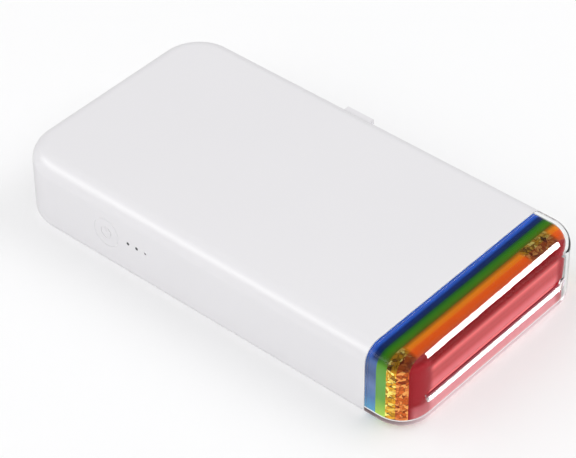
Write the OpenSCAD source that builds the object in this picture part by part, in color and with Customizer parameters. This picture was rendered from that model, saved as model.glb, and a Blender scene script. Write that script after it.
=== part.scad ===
// Compact photo printer: a glossy white casing with a clear end cap over five
// coloured bands, a side door for the paper and ribbon cartridge, and the
// print mechanism, board and battery inside.
// X runs along the length towards the paper exit, the power button is on the
// -Y side, the door is on the +Y side, and the feet stand on Z = 0.

/* [Casing] */
// Room behind the cartridge for the rear screws and the socket
rear_room = 14; // [13:0.5:24]
// Room over the print head's bracket
head_room = 1.9; // [1.7:0.1:4]
// Gap between the outermost gear and the side wall
gear_wall_gap = 0.45; // [0.4:0.05:3]
// Thickness of the casing walls
wall = 1.8; // [1.5:0.1:2]
// Thickness of the wall behind the end cap
end_wall = 2; // [1.5:0.1:2.2]
// Plan radius of the two rear corners
rear_r = 14; // [10:0.5:15]
// Plan radius of the two front corners
front_r = 10; // [8:0.5:12]
// Radius of the rounded top edge
top_r = 5.3; // [4:0.1:5.6]
// Radius of the rounded bottom edge
base_r = 2.5; // [2.3:0.1:3]
// Height of the rib that locates the base inside the walls
lip_h = 1.5; // [1:0.1:1.8]
// Thickness of that rib
lip_t = 1; // [0.8:0.1:1.2]
// Gap between parts that only locate each other
fit = 0.1; // [0.05:0.01:0.15]

/* [Feet and screws] */
// Height of the feet below the casing
feet_h = 0.6; // [0.4:0.1:1]
// Radius of a foot
foot_r = 4; // [3:0.25:5]
// Depth to which a foot sits in the base
foot_sink = 0.4; // [0.2:0.1:0.6]
// Shank radius of the casing screws
case_screw_r = 1; // [0.8:0.1:1.1]
// Shank radius of the small inner screws
small_screw_r = 0.8; // [0.7:0.05:0.9]
// Length of the label plate
label_len = 34; // [20:1:40]
// Width of the label plate
label_w = 18; // [12:1:24]

/* [End cap] */
// Length of the clear end cap
cap_len = 15; // [14.5:0.25:17]
// Wall of the clear cap
cap_wall = 1.4; // [1.2:0.1:1.8]
// Thickness of the blue band
blue_t = 2.9; // [2.4:0.1:3.2]
// Thickness of the green band
green_t = 3.2; // [2.4:0.1:3.4]
// Thickness of the yellow band
yellow_t = 2.6; // [2:0.1:3]
// Thickness of the orange band
orange_t = 2.6; // [2:0.1:3]
// Width of the slot that the print comes out of
slot_w = 64; // [60:0.5:66]
// Height of the slot at its narrow inner end
slot_h = 1.6; // [1.4:0.1:2]
// Height of the bevelled mouth of the slot
mouth_h = 4.6; // [4:0.2:5.4]
// Height of the step between the bevel and the slot, above and below
mouth_step = 0.45; // [0.3:0.05:0.6]

/* [Button and lights] */
// Distance of the button's middle from the rear end
button_in = 37.8; // [30:0.1:42]
// Drop of the button's middle below the top of the board
button_drop = 2.8; // [2.4:0.1:3.2]
// Distance of the first light from the button's middle
light_gap = 8.7; // [7.5:0.1:10]
// Drop of the lights below the board
light_drop = 1.4; // [1.2:0.1:1.8]
// Radius of the button
button_r = 4.7; // [4.2:0.1:5]
// Radius of the power mark's ring on the button
mark_r = 1.9; // [1.4:0.1:2.4]
// Travel of the button
button_travel = 0.5; // [0.3:0.05:0.55]
// Pitch of the lights and the reset hole
light_pitch = 3.4; // [3:0.1:3.6]
// Radius of a light
light_r = 0.55; // [0.4:0.05:0.7]
// Radius of the reset hole
reset_r = 0.45; // [0.35:0.05:0.6]

/* [Door] */
// Margin of the door beyond the cartridge at each end
door_over = 1; // [0.8:0.1:1.2]
// Drop of the hinge below the cartridge
hinge_drop = 1.7; // [1.5:0.1:1.9]
// Drop of the door's upper edge below the top of the casing
door_drop = 2.7; // [2.6:0.1:3.6]
// Width of the finger tab on the door
tab_w = 10; // [8:0.5:16]
// Reach of the finger tab beyond the side
tab_out = 1.6; // [1:0.1:1.6]
// Height of the finger tab
tab_h = 1.8; // [1.2:0.1:2.4]
// Distance of the tab from the middle of the length
tab_back = 9; // [0:0.5:20]
// Gap round the door
door_gap = 0.15; // [0.1:0.01:0.25]
// Radius of the hinge pins
pin_r = 0.5; // [0.4:0.02:0.55]
// Running gap round shafts and pins
run = 0.05; // [0.03:0.01:0.08]

/* [Paper and cartridge] */
// Length of a print
paper_len = 86; // [84:0.5:87]
// Width of a print
paper_w = 54; // [50:0.5:55]
// Height of the paper stack
paper_h = 2.5; // [1:0.1:2.6]
// Margin of the cartridge beside the paper
cart_side = 4; // [3.5:0.25:6]
// Wall of the cartridge
cart_wall = 1; // [0.8:0.05:1.1]
// Height of the cartridge's tray
tray_h = 5.8; // [5.4:0.1:6]
// Outer radius of the ribbon spool housings
housing_r = 4.5; // [4.3:0.05:4.6]
// Distance between the two ribbon spools
spool_span = 17; // [16.6:0.1:17.2]
// Radius of a spool's core
core_r = 1.8; // [1.6:0.05:1.9]
// Radius of the unused ribbon on its spool
wound_r = 3.3; // [2.8:0.1:3.4]
// Thickness of the ribbon
ribbon_t = 0.12; // [0.1:0.01:0.15]

/* [Mechanism] */
// Distance of the drive roller behind the end wall's face
capstan_back = 8.2; // [8:0.05:8.5]
// Radius of the drive roller
capstan_r = 2.2; // [2:0.05:2.3]
// Radius of the pinch roller
pinch_r = 2; // [1.8:0.05:2.1]
// Radius of the platen roller
platen_r = 3.6; // [3.2:0.05:3.7]
// Radius of the pick-up roller
pick_r = 2.7; // [2.5:0.05:2.8]
// Radius of the roller shafts
shaft_r = 1; // [0.9:0.05:1.1]
// Thickness of the side plates
plate_t = 1; // [0.8:0.05:1.1]
// Gap between the cartridge and a side plate
side_gap = 1.2; // [1:0.05:1.3]
// Tooth size of the gears: pitch diameter over number of teeth
tooth_m = 0.5; // [0.49:0.005:0.505]
// Face width of a gear
gear_t = 1.25; // [1:0.05:1.3]
// Gap between neighbouring gears along their axes
gear_gap = 0.25; // [0.2:0.01:0.3]
// Play between meshing teeth
play = 0.1; // [0.08:0.01:0.14]
// Length of the motor's can
motor_len = 15; // [12:0.5:20]
// Width of the motor's can
motor_w = 10; // [9:0.1:10.2]
// Height of the motor's can across its flats
motor_h = 8.6; // [8:0.1:8.8]

/* [Board and battery] */
// Gap between the cartridge's tray and the board
board_gap = 1.2; // [1:0.1:1.5]
// Gap between the battery and the front end of the board
battery_gap = 12.5; // [12:0.5:30]
// Thickness of the main board
board_t = 1; // [0.8:0.1:1.2]
// Width of the battery
battery_w = 38; // [20:1:40]
// Thickness of the battery
battery_t = 5.8; // [4:0.1:6]

/* [Hidden] */
$fn = 64;
eps = 0.01;

// Heights, from the table up through the rollers and the cartridge to the roof
z_base = feet_h;
floor_z = z_base + wall;
under_roller = 0.4;
nip = 0.05;
housing_over = 0.65;
bracket_over = 0.4;
slot_z = floor_z + under_roller + 2 * platen_r + nip;
mouth_in = slot_h + 2 * mouth_step;
mouth_depth = (mouth_h - mouth_in) / 2;
tray_z = floor_z + under_roller + 2 * pick_r - cart_wall;
tray_floor = tray_z + cart_wall;
tray_top = tray_z + tray_h;
spool_z = slot_z + housing_r + housing_over;
board_z = tray_top + board_gap;
board_top = board_z + board_t;
bracket_t = 1.2;
bracket_z = spool_z + housing_r + bracket_over;
ceil_z = bracket_z + bracket_t + head_room;
z_top = ceil_z + wall;
case_h = z_top - z_base;

// Widths, from the paper out through the cartridge, the plates and the gears
cart_w = paper_w + 2 * cart_side;
cart_y = cart_w / 2;
plate_in = cart_y + side_gap;
plate_out = plate_in + plate_t;
hub_gap = 0.3;
layer_a = plate_out + hub_gap;
layer_b = layer_a + gear_t + gear_gap;
layer_c = layer_b + gear_t + gear_gap;
y_in = layer_c + gear_t + gear_wall_gap;
y_side = y_in + wall;
case_w = 2 * y_side;

// Teeth of the gears
drive_teeth = 18;
takeup_teeth = 28;
step_teeth = 12;
red2_teeth = 30;
red1_teeth = 32;
motor_teeth = 10;
idler_teeth = 16;
pick_teeth = 10;
pressure_angle = 20;

// Distance between the axes of two meshing gears
function axes(na, nb) = (na + nb) * tooth_m / 2;

// Lengths, from the rear end through the tray, the head and the rollers to the cap
capstan_z = slot_z - nip - capstan_r;
drive_d = axes(takeup_teeth, drive_teeth);
spool_dz = spool_z - capstan_z;
takeup_run = sqrt(drive_d * drive_d - spool_dz * spool_dz);
paper_play = 1.5;
tray_len = paper_len + 2 * cart_wall + paper_play;
tray_head = 6.5;
head_takeup = 8;
case_len = rear_room + tray_len + tray_head + head_takeup + takeup_run + capstan_back + cap_len;
x_rear = -case_len / 2;
x_front = case_len / 2;
x_end = x_front - cap_len;
x_bulk = x_end - end_wall;
x_in = x_rear + wall;
tray_x0 = x_rear + rear_room;
tray_x1 = tray_x0 + tray_len;
paper_x = (tray_x0 + tray_x1) / 2;
head_x = tray_x1 + tray_head;
takeup_x = head_x + head_takeup;
supply_x = takeup_x - spool_span;
capstan_x = takeup_x + takeup_run;

// Feet
foot_x0 = x_rear + 17;
foot_x1 = x_end - 8;
foot_y = y_side - 13;
feet = [[foot_x0, foot_y], [foot_x0, -foot_y], [foot_x1, foot_y], [foot_x1, -foot_y]];

// Label plate
label_x = -10;
label_t = 0.2;

// Bands behind the clear cap
core_in = cap_wall + fit;
core_gap = 0.3;
core_x0 = x_end + core_gap;
blue_x = core_x0 + blue_t;
green_x = blue_x + green_t;
yellow_x = green_x + yellow_t;
orange_x = yellow_x + orange_t;
core_x1 = x_front - core_in;
channel_w = paper_w + 3;
channel_h = 3.2;
guide_w = paper_w + 1.6;
cap_screw_y = y_side - 4.6;
cap_screw_z = z_base + 16.9;
cap_screw_end = blue_x + 2;
screw_rim = 0.7;

// Door and its hinge
hinge_r = wall / 2;
hinge_y = y_side - hinge_r;
hinge_z = tray_z - hinge_drop;
door_x0 = tray_x0 - door_over;
door_x1 = takeup_x + housing_r + 1.5 + door_over;
door_top_z = z_top - door_drop;
pin_in = 4;
pin_out = 2.5;
tab_grip_r = 2.4;

// Cartridge
housing_wall = 0.8;
low_x = supply_x - housing_r - 0.5;
low_z = spool_z - housing_r - 0.05;
housing_in = housing_r - housing_wall;
bridge_t = 1.4;
bridge_h = 4.5;

// Rollers
platen_z = slot_z - nip - platen_r;
pinch_z = slot_z + 0.1 + pinch_r;
pick_x = tray_x1 - 14.5;
pick_z = tray_floor - pick_r;
roller_w = paper_w;
platen_w = roller_w + 2;
pick_rubber_w = 24;
drive_rubber_in = 8;
shaft_end = plate_out + 0.4;
shafts = [[capstan_x, capstan_z], [capstan_x, pinch_z], [head_x, platen_z], [pick_x, pick_z]];
opening_side = 0.6;

// Gear train along the left side plate
red2_z = spool_z - 0.8;
red2_d = axes(takeup_teeth, step_teeth);
red2_x = takeup_x - sqrt(red2_d * red2_d - pow(spool_z - red2_z, 2));
red1_z = red2_z - 1.8;
red1_d = axes(step_teeth, red2_teeth);
red1_x = red2_x - sqrt(red1_d * red1_d - pow(red2_z - red1_z, 2));
motor_z = tray_top + 0.7 + motor_h / 2;
motor_d = axes(motor_teeth, red1_teeth);
motor_x = red1_x - sqrt(motor_d * motor_d - pow(motor_z - red1_z, 2));
idler_a = axes(step_teeth, idler_teeth);
idler_b = axes(idler_teeth, pick_teeth);
pick_dx = pick_x - red1_x;
pick_dz = pick_z - red1_z;
pick_d = sqrt(pick_dx * pick_dx + pick_dz * pick_dz);
idler_s = (idler_a * idler_a - idler_b * idler_b + pick_d * pick_d) / (2 * pick_d);
idler_h = sqrt(idler_a * idler_a - idler_s * idler_s);
idler_x = red1_x + (idler_s * pick_dx + idler_h * pick_dz) / pick_d;
idler_z = red1_z + (idler_s * pick_dz - idler_h * pick_dx) / pick_d;

// Rest angles that put a tooth of one gear into a gap of the next
function mesh_angle(dx, dz, a, na, nb) =
    atan2(dz, dx) + 180 - (360 / nb) * (0.5 - (atan2(dz, dx) - a) * na / 360);
takeup_a = mesh_angle(takeup_x - capstan_x, spool_z - capstan_z, 0,
    drive_teeth, takeup_teeth);
red2_a = mesh_angle(red2_x - takeup_x, red2_z - spool_z, takeup_a,
    takeup_teeth, step_teeth);
red1_a = mesh_angle(red1_x - red2_x, red1_z - red2_z, red2_a,
    red2_teeth, step_teeth);
motor_a = mesh_angle(motor_x - red1_x, motor_z - red1_z, red1_a,
    red1_teeth, motor_teeth);
idler_ang = mesh_angle(idler_x - red1_x, idler_z - red1_z, red1_a,
    step_teeth, idler_teeth);
pick_a = mesh_angle(pick_x - idler_x, pick_z - idler_z, idler_ang,
    idler_teeth, pick_teeth);

// Print head and its bracket
head_w = 4.8;
head_low = slot_z + 0.3;
heater_t = 0.6;
bracket_x0 = head_x - 4;
bracket_x1 = x_end - 3.8;
bracket_y = cart_y - 0.1;
spring_y = 20;
spring_r = 2;
spring_wall = 0.5;
vent_r = 1.8;
vent_x = [head_x + 6, head_x + 11];
vent_y = [-18, 0, 18];
pivot_x = x_end - 5.2;
pivot_z = z_base + 18;
head_len = cart_w - 4;

// Side plates
plate_x0 = motor_x - motor_w / 2 - 1.7;
plate_x1 = x_bulk - fit - lip_t - 0.3;
plate_top = ceil_z - 1.2;
plate_low = floor_z + 0.2;
hub_r = small_screw_r + 0.8;
motor_nose_r = 1.5;

// Chassis and the blocks that the side plates are screwed to
chassis_t = 1.4;
block_w = 4;
rail_t = 2;
plate_screw_x = [plate_x0 + 3, low_x + 2.5, takeup_x];
plate_screw_z = floor_z + block_w / 2;

// Casing screws: two at the rear corners, one beside the gears and one beside the door
boss_r = case_screw_r + 1.1;
case_head_r = case_screw_r + 0.8;
case_head_h = 0.9;
screw_depth = 4.6;
rear_screw_in = 8;
rear_screw_x = x_rear + rear_screw_in;
left_screw_x = plate_x0 - 2.4;
rear_screw_y = y_side - 10;
front_screw_x = x_end - 5.5;
side_screw_y = y_side - 4.4;
case_screws = [[rear_screw_x, -rear_screw_y], [rear_screw_x, rear_screw_y],
    [left_screw_x, -side_screw_y], [front_screw_x, side_screw_y]];

// Board
board_x0 = tray_x0 + 1;
board_x1 = plate_x0 - 5;
board_post_r = 2.2;
chip_in = 4;
chip_t = 1;
// Length, width and place across the board of each large chip
chips = [[9, 9, -3.5], [7, 7, 11.5], [8, 6, -19], [4, 4, 21]];
row_chip_w = 2;
row_chip_l = 3;
row_pitch = 6;
row_chip_x = 8;
row_chip_y = 8;
board_y0 = -(y_side - 4);
board_y1 = cart_y - 1;
board_hole_in = 2.5;
board_screws = [for (x = [board_x0 + board_hole_in, board_x1 - board_hole_in])
    for (y = [board_y0 + board_hole_in + 0.5, board_y1 - board_hole_in]) [x, y]];
button_x = x_rear + button_in;
button_z = board_top - button_drop;
light_x = button_x + light_gap;
light_z = board_z - light_drop;
reset_x = light_x + 2 * light_pitch;
button_rim = 0.6;
mark_t = 0.35;
mark_depth = 0.15;
plunger_r = 0.8;
switch_z = board_top + plunger_r;
usb_w = 7.6;
usb_h = 2.9;
usb_wall = 0.4;
usb_len = 6;
usb_y = 0;
battery_x0 = board_x0 + 5.5;
battery_x1 = board_x1 - battery_gap;
battery_y0 = board_y0 + 14;
battery_z1 = ceil_z - 0.8;
lead_x = board_x1 - 7.5;
lead_y = 5;
lead_w = 1.2;
lead_t = 1;

// Section across the casing: square sides with rounded top and bottom edges
module across(w, h, rt, rb) {
    difference() {
        translate([-w / 2, 0]) square([w, h]);
        for (s = [-1, 1]) {
            difference() {
                translate([s * (w / 2 - rt / 2 + 1), h - rt / 2 + 1]) square([rt + 2, rt + 2], center = true);
                translate([s * (w / 2 - rt), h - rt]) circle(rt);
            }
            difference() {
                translate([s * (w / 2 - rb / 2 + 1), rb / 2 - 1]) square([rb + 2, rb + 2], center = true);
                translate([s * (w / 2 - rb), rb]) circle(rb);
            }
        }
    }
}

// Half section from an axis out to one rounded side
module outward(r, h, rt, rb) {
    intersection() {
        square([r + 1, h]);
        across(2 * r, h, rt, rb);
    }
}

// The whole rounded outline moved in by d on every face, and by low underneath
module body_form(d, low = undef) {
    under = is_undef(low) ? d : low;
    h = case_h - d - under;
    rt = top_r - d;
    rb = max(base_r - d, 0.3);
    ra = rear_r - d;
    rf = front_r - d;
    xa = x_rear + rear_r;
    xf = x_front - front_r;
    translate([0, 0, z_base + under]) {
        translate([xa, 0, 0]) rotate([90, 0, 90]) linear_extrude(xf - xa) across(case_w - 2 * d, h, rt, rb);
        translate([xf, y_side - front_r, 0]) rotate([90, 0, 0])
            linear_extrude(2 * (y_side - front_r)) outward(rf, h, rt, rb);
        translate([xa, -(y_side - rear_r), 0]) rotate([90, 0, 180])
            linear_extrude(2 * (y_side - rear_r)) outward(ra, h, rt, rb);
        for (s = [0, 1]) {
            mirror([0, s, 0]) {
                translate([xf, y_side - front_r, 0]) rotate_extrude(angle = 90) outward(rf, h, rt, rb);
                translate([xa, y_side - rear_r, 0]) rotate([0, 0, 90])
                    rotate_extrude(angle = 90) outward(ra, h, rt, rb);
            }
        }
    }
}

// A box given by its two corners
module box(a, b) {
    translate(a) cube([b[0] - a[0], b[1] - a[1], b[2] - a[2]]);
}

// The part of the outline between two positions along X and two heights
module form_part(d, x0, x1, z0, z1, low = undef) {
    intersection() {
        body_form(d, low);
        box([x0, -case_w, z0], [x1, case_w, z1]);
    }
}

// A cylinder along Y from y0 to y1
module rod_y(x, z, r, y0, y1) {
    translate([x, y1, z]) rotate([90, 0, 0]) cylinder(h = y1 - y0, r = r);
}

// A cylinder along X from x0 to x1
module rod_x(y, z, r, x0, x1) {
    translate([x0, y, z]) rotate([0, 90, 0]) cylinder(h = x1 - x0, r = r);
}

// A cylinder along Z from z0 to z1
module rod_z(x, y, r, z0, z1) {
    translate([x, y, z0]) cylinder(h = z1 - z0, r = r);
}

// The door's outline, grown by g: its plate, its round lower edge and its tab
module door_form(g) {
    intersection() {
        difference() {
            body_form(-eps);
            body_form(wall);
        }
        box([door_x0 - g, 0, hinge_z], [door_x1 + g, case_w, door_top_z + g]);
    }
    rod_x(hinge_y, hinge_z, hinge_r, door_x0 - g, door_x1 + g);
}

module top_case() {
    color("#ecebee") difference() {
        union() {
            difference() {
                form_part(0, x_rear - 1, x_end, floor_z, z_top + 1);
                form_part(wall, x_rear - 1, x_bulk, floor_z - 1, z_top, 0);
            }
            intersection() {
                form_part(wall / 2, x_rear - 1, x_bulk + eps, floor_z - 1, z_top);
                union() {
                    for (p = case_screws) rod_z(p[0], p[1], boss_r, floor_z, z_top);
                    for (p = board_screws) rod_z(p[0], p[1], board_post_r, board_top, z_top);
                }
            }
        }
        box([door_x0 - door_gap, hinge_y - 2 * wall, hinge_z - hinge_r - door_gap],
            [door_x1 + door_gap, case_w, door_top_z + door_gap]);
        rod_x(hinge_y, hinge_z, pin_r, door_x0 - pin_out, door_x0);
        rod_x(hinge_y, hinge_z, pin_r, door_x1, door_x1 + pin_out);
        rod_y(button_x, button_z, button_r + fit, -case_w, -y_in + 1);
        for (i = [0, 1]) rod_y(light_x + i * light_pitch, light_z, light_r, -case_w, -y_in + 1);
        rod_y(reset_x, light_z, reset_r, -case_w, -y_in + 1);
        box([x_rear - 1, usb_y - usb_w / 2 - usb_wall, board_top - usb_wall / 2],
            [x_in + 1, usb_y + usb_w / 2 + usb_wall, board_top + usb_h + usb_wall]);
        box([x_bulk - 1, -channel_w / 2, slot_z - channel_h / 2],
            [x_end + 1, channel_w / 2, slot_z + channel_h / 2]);
        for (p = case_screws) rod_z(p[0], p[1], case_screw_r, floor_z - 1, floor_z + screw_depth + 0.4);
        for (p = board_screws) rod_z(p[0], p[1], small_screw_r, board_top - 1, board_top + 4);
        for (s = [-1, 1]) rod_x(s * cap_screw_y, cap_screw_z, small_screw_r + fit, x_bulk - 1, x_end + 1);
    }
}

module bottom_case() {
    color("#e4e3e6") difference() {
        union() {
            form_part(0, x_rear - 1, x_end, z_base - 1, floor_z);
            difference() {
                form_part(wall + fit, x_rear, x_bulk - fit, floor_z - eps, floor_z + lip_h, wall / 2);
                form_part(wall + fit + lip_t, x_rear, x_bulk - fit - lip_t, 0, floor_z + 2 * lip_h, 0);
                box([door_x0 - 2, y_side - 2 * wall - lip_t, floor_z], [door_x1 + 2, case_w, z_top]);
                for (p = case_screws) rod_z(p[0], p[1], boss_r + fit, floor_z, z_top);
                box([plate_x0 - 1, -case_w, floor_z], [x_end, -plate_in + 1, z_top]);
            }
        }
        for (p = case_screws) {
            rod_z(p[0], p[1], case_screw_r + fit, 0, z_top);
            rod_z(p[0], p[1], case_head_r + fit, 0, z_base + case_head_h + fit);
        }
        for (p = feet) rod_z(p[0], p[1], foot_r, 0, z_base + foot_sink);
        box([label_x - label_len / 2, -label_w / 2, 0],
            [label_x + label_len / 2, label_w / 2, z_base + label_t]);
    }
}

module cartridge_door() {
    color("#ecebee") {
        difference() {
            union() {
                door_form(0);
                difference() {
                    box([-tab_back - tab_w / 2, y_side - 1.4, door_top_z - tab_h],
                        [-tab_back + tab_w / 2, y_side + tab_out, door_top_z]);
                    translate([-tab_back, y_side + tab_out, door_top_z - tab_h - tab_grip_r + 0.2])
                        rotate([0, 90, 0]) cylinder(h = tab_w + 1, r = tab_grip_r, center = true);
                }
            }
            rod_x(hinge_y, hinge_z, pin_r + run, door_x0 - 1, door_x0 + pin_in);
            rod_x(hinge_y, hinge_z, pin_r + run, door_x1 - pin_in, door_x1 + 1);
        }
    }
}

module hinge_pins() {
    color("silver") {
        rod_x(hinge_y, hinge_z, pin_r, door_x0 - pin_out, door_x0 + pin_in - 0.2);
        rod_x(hinge_y, hinge_z, pin_r, door_x1 - pin_in + 0.2, door_x1 + pin_out);
    }
}

// The solid block behind the clear cap, between two positions along X
module core_part(x0, x1) {
    difference() {
        form_part(core_in, x0, x1, 0, z_top);
        box([x0 - 1, -channel_w / 2, slot_z - slot_h / 2], [x1 + 1, channel_w / 2, slot_z + slot_h / 2]);
        for (s = [-1, 1]) rod_x(s * cap_screw_y, cap_screw_z, small_screw_r, x_end, cap_screw_end);
    }
}

module end_cap() {
    color("#f2f4f6", 0.4) difference() {
        form_part(0, x_end + 0.2, x_front + 1, 0, z_top + 1);
        form_part(cap_wall, x_end - 1, x_front, 0, z_top);
        // Slot with a bevelled mouth and round ends
        translate([0, slot_w / 2 - mouth_h / 2, slot_z]) rotate([90, 0, 0])
            linear_extrude(slot_w - mouth_h)
                polygon([[x_front + 1, -mouth_h / 2], [x_front + 1, mouth_h / 2], [x_front, mouth_h / 2],
                    [x_front - mouth_depth, mouth_in / 2], [x_front - cap_wall - 1, mouth_in / 2],
                    [x_front - cap_wall - 1, -mouth_in / 2], [x_front - mouth_depth, -mouth_in / 2],
                    [x_front, -mouth_h / 2]]);
        for (s = [-1, 1]) {
            rod_x(s * (slot_w - mouth_h) / 2, slot_z, mouth_in / 2, x_front - cap_wall - 1, x_front);
            translate([x_front - mouth_depth, s * (slot_w - mouth_h) / 2, slot_z]) rotate([0, 90, 0])
                cylinder(h = mouth_depth, r1 = mouth_in / 2, r2 = mouth_h / 2);
        }
    }
}

module blue_band() { color("#1d49b8") core_part(core_x0, blue_x); }
module green_band() { color("#1f8a3a") core_part(blue_x, green_x); }
module yellow_band() { color("#f0b71c") core_part(green_x, yellow_x); }
module orange_band() { color("#ee6a1a") core_part(yellow_x, orange_x); }
module red_band() { color("#d8232e") core_part(orange_x, core_x1 + 1); }

module cap_screws() {
    color("silver") for (s = [-1, 1]) {
        rod_x(s * cap_screw_y, cap_screw_z, small_screw_r, x_bulk - 0.5, cap_screw_end - 0.3);
        rod_x(s * cap_screw_y, cap_screw_z, small_screw_r + screw_rim, x_bulk - 0.9, x_bulk);
    }
}

module exit_guide() {
    color("#26262a") difference() {
        union() {
            box([x_bulk - 1, -channel_w / 2 - 1, slot_z - channel_h / 2 - 1],
                [x_bulk, channel_w / 2 + 1, slot_z + channel_h / 2 + 1]);
            box([x_bulk - eps, -channel_w / 2 + fit, slot_z - channel_h / 2 + fit],
                [x_end, channel_w / 2 - fit, slot_z + channel_h / 2 - fit]);
        }
        box([x_bulk - 2, -guide_w / 2, slot_z - slot_h / 2], [x_end + 1, guide_w / 2, slot_z + slot_h / 2]);
    }
}

// The power mark: a ring that is open at the top, and a short upright bar
module power_mark() {
    difference() {
        rod_y(button_x, button_z, mark_r + mark_t / 2, -y_side - 1, -y_side + mark_depth);
        rod_y(button_x, button_z, mark_r - mark_t / 2, -y_side - 2, -y_side + 1);
        box([button_x - 2 * mark_t, -y_side - 2, button_z],
            [button_x + 2 * mark_t, -y_side + 1, button_z + button_r]);
    }
    box([button_x - mark_t / 2, -y_side - 1, button_z + mark_t],
        [button_x + mark_t / 2, -y_side + mark_depth, button_z + mark_r + mark_t]);
}

module power_button() {
    color("#e6e5e8") {
        difference() {
            rod_y(button_x, button_z, button_r, -y_side, -y_in + 0.3);
            power_mark();
        }
        rod_y(button_x, button_z, button_r + button_rim, -y_in + 0.1, -y_in + 0.7);
        rod_y(button_x, switch_z, plunger_r, -y_in + 0.5, board_y0 - 0.45 - button_travel);
    }
}

module light_pipes() {
    color("#3a3a3e") for (i = [0, 1])
        rod_y(light_x + i * light_pitch, light_z, light_r, -y_side + 0.05, board_y0 - 0.2);
}

module rubber_feet() {
    color("#4a4a4e") for (p = feet)
        rod_z(p[0], p[1], foot_r - fit, 0, z_base + foot_sink);
}

module case_screws() {
    color("silver") for (p = case_screws) {
        rod_z(p[0], p[1], case_screw_r, z_base + 0.5, floor_z + screw_depth);
        difference() {
            rod_z(p[0], p[1], case_head_r, z_base + fit, z_base + case_head_h + fit);
            translate([0, 0, z_base + fit + 0.2]) for (a = [0, 90]) translate([p[0], p[1], 0])
                rotate([0, 0, a]) cube([2 * case_screw_r, 0.4, 0.6], center = true);
        }
    }
}

module label_plate() {
    color("#c9c9cd") box([label_x - label_len / 2 + fit, -label_w / 2 + fit, z_base + 0.04],
        [label_x + label_len / 2 - fit, label_w / 2 - fit, z_base + label_t]);
}

module chassis() {
    color("#3c3c42") difference() {
        union() {
            box([tray_x0, -plate_in, floor_z], [plate_x1, plate_in, floor_z + chassis_t]);
            for (x = [tray_x0 + 1, paper_x - 8, low_x - 2])
                box([x, -cart_y, floor_z], [x + rail_t, plate_in - 0.2, tray_z - 0.15]);
            box([tray_x0 - 1.7, -cart_y, floor_z], [tray_x0 - 0.3, plate_in - 0.2, tray_z + 4]);
            box([tray_x0 - 1.7, -cart_y, floor_z], [tray_x0 + eps, plate_in - 0.2, floor_z + chassis_t]);
            for (x = plate_screw_x)
                for (s = [0, 1]) mirror([0, s, 0])
                    box([x - block_w / 2, plate_in - block_w, floor_z],
                        [x + block_w / 2, plate_in, floor_z + block_w]);
        }
        box([pick_x - pick_r - opening_side, -roller_w / 2, floor_z - 1],
            [pick_x + pick_r + opening_side, roller_w / 2, z_top]);
        box([head_x - platen_r - opening_side, -platen_w / 2 - opening_side, floor_z - 1],
            [head_x + platen_r + opening_side, platen_w / 2 + opening_side, z_top]);
        for (x = plate_screw_x)
            for (s = [0, 1]) mirror([0, s, 0])
                rod_y(x, plate_screw_z, small_screw_r, plate_in - 3, plate_in + 1);
        rod_z(left_screw_x, -side_screw_y, boss_r + 0.3, 0, z_top);
    }
}

module left_side_plate() {
    color("#b9bcc2") difference() {
        box([plate_x0, -plate_out, plate_low], [plate_x1, -plate_in, plate_top]);
        for (c = concat(shafts, [[takeup_x, spool_z]]))
            rod_y(c[0], c[1], shaft_r + run, -plate_out - 1, -plate_in + 1);
        rod_y(motor_x, motor_z, motor_nose_r + 0.5, -plate_out - 1, -plate_in + 1);
        rod_y(pivot_x, pivot_z, small_screw_r + run, -plate_out - 1, -plate_in + 1);
        for (c = [[red1_x, red1_z], [red2_x, red2_z], [idler_x, idler_z]])
            rod_y(c[0], c[1], small_screw_r, -plate_out - 1, -plate_in + 1);
        for (x = plate_screw_x) rod_y(x, plate_screw_z, small_screw_r + fit, -plate_out - 1, -plate_in + 1);
    }
}

module right_side_plate() {
    color("#b9bcc2") difference() {
        union() {
            box([plate_x0, plate_in, plate_low], [plate_x1, plate_out, tray_z - 0.2]);
            box([head_x - 4, plate_in, plate_low], [head_x + 4, plate_out, head_low - 1]);
            box([capstan_x - 2.3, plate_in, plate_low], [plate_x1, plate_out, plate_top]);
        }
        for (c = shafts) rod_y(c[0], c[1], shaft_r + run, plate_in - 1, plate_out + 1);
        rod_y(pivot_x, pivot_z, small_screw_r + run, plate_in - 1, plate_out + 1);
        for (x = plate_screw_x) rod_y(x, plate_screw_z, small_screw_r + fit, plate_in - 1, plate_out + 1);
    }
}

module plate_screws() {
    color("silver") for (x = plate_screw_x)
        for (s = [0, 1]) mirror([0, s, 0]) {
            rod_y(x, plate_screw_z, small_screw_r, plate_in - 2.8, plate_out + 0.3);
            rod_y(x, plate_screw_z, small_screw_r + screw_rim, plate_out, plate_out + 0.7);
        }
}

module gear_posts() {
    color("silver") {
        rod_y(red1_x, red1_z, small_screw_r, -layer_c - gear_t + 0.15, -plate_in);
        for (c = [[red2_x, red2_z], [idler_x, idler_z]])
            rod_y(c[0], c[1], small_screw_r, -layer_b - gear_t - 0.1, -plate_in);
    }
}

// Roll angle of an involute in degrees, and a point given by radius and angle
function inv(t) = tan(t) * 180 / PI - t;
function polar(r, a) = [r * cos(a), r * sin(a)];

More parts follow.
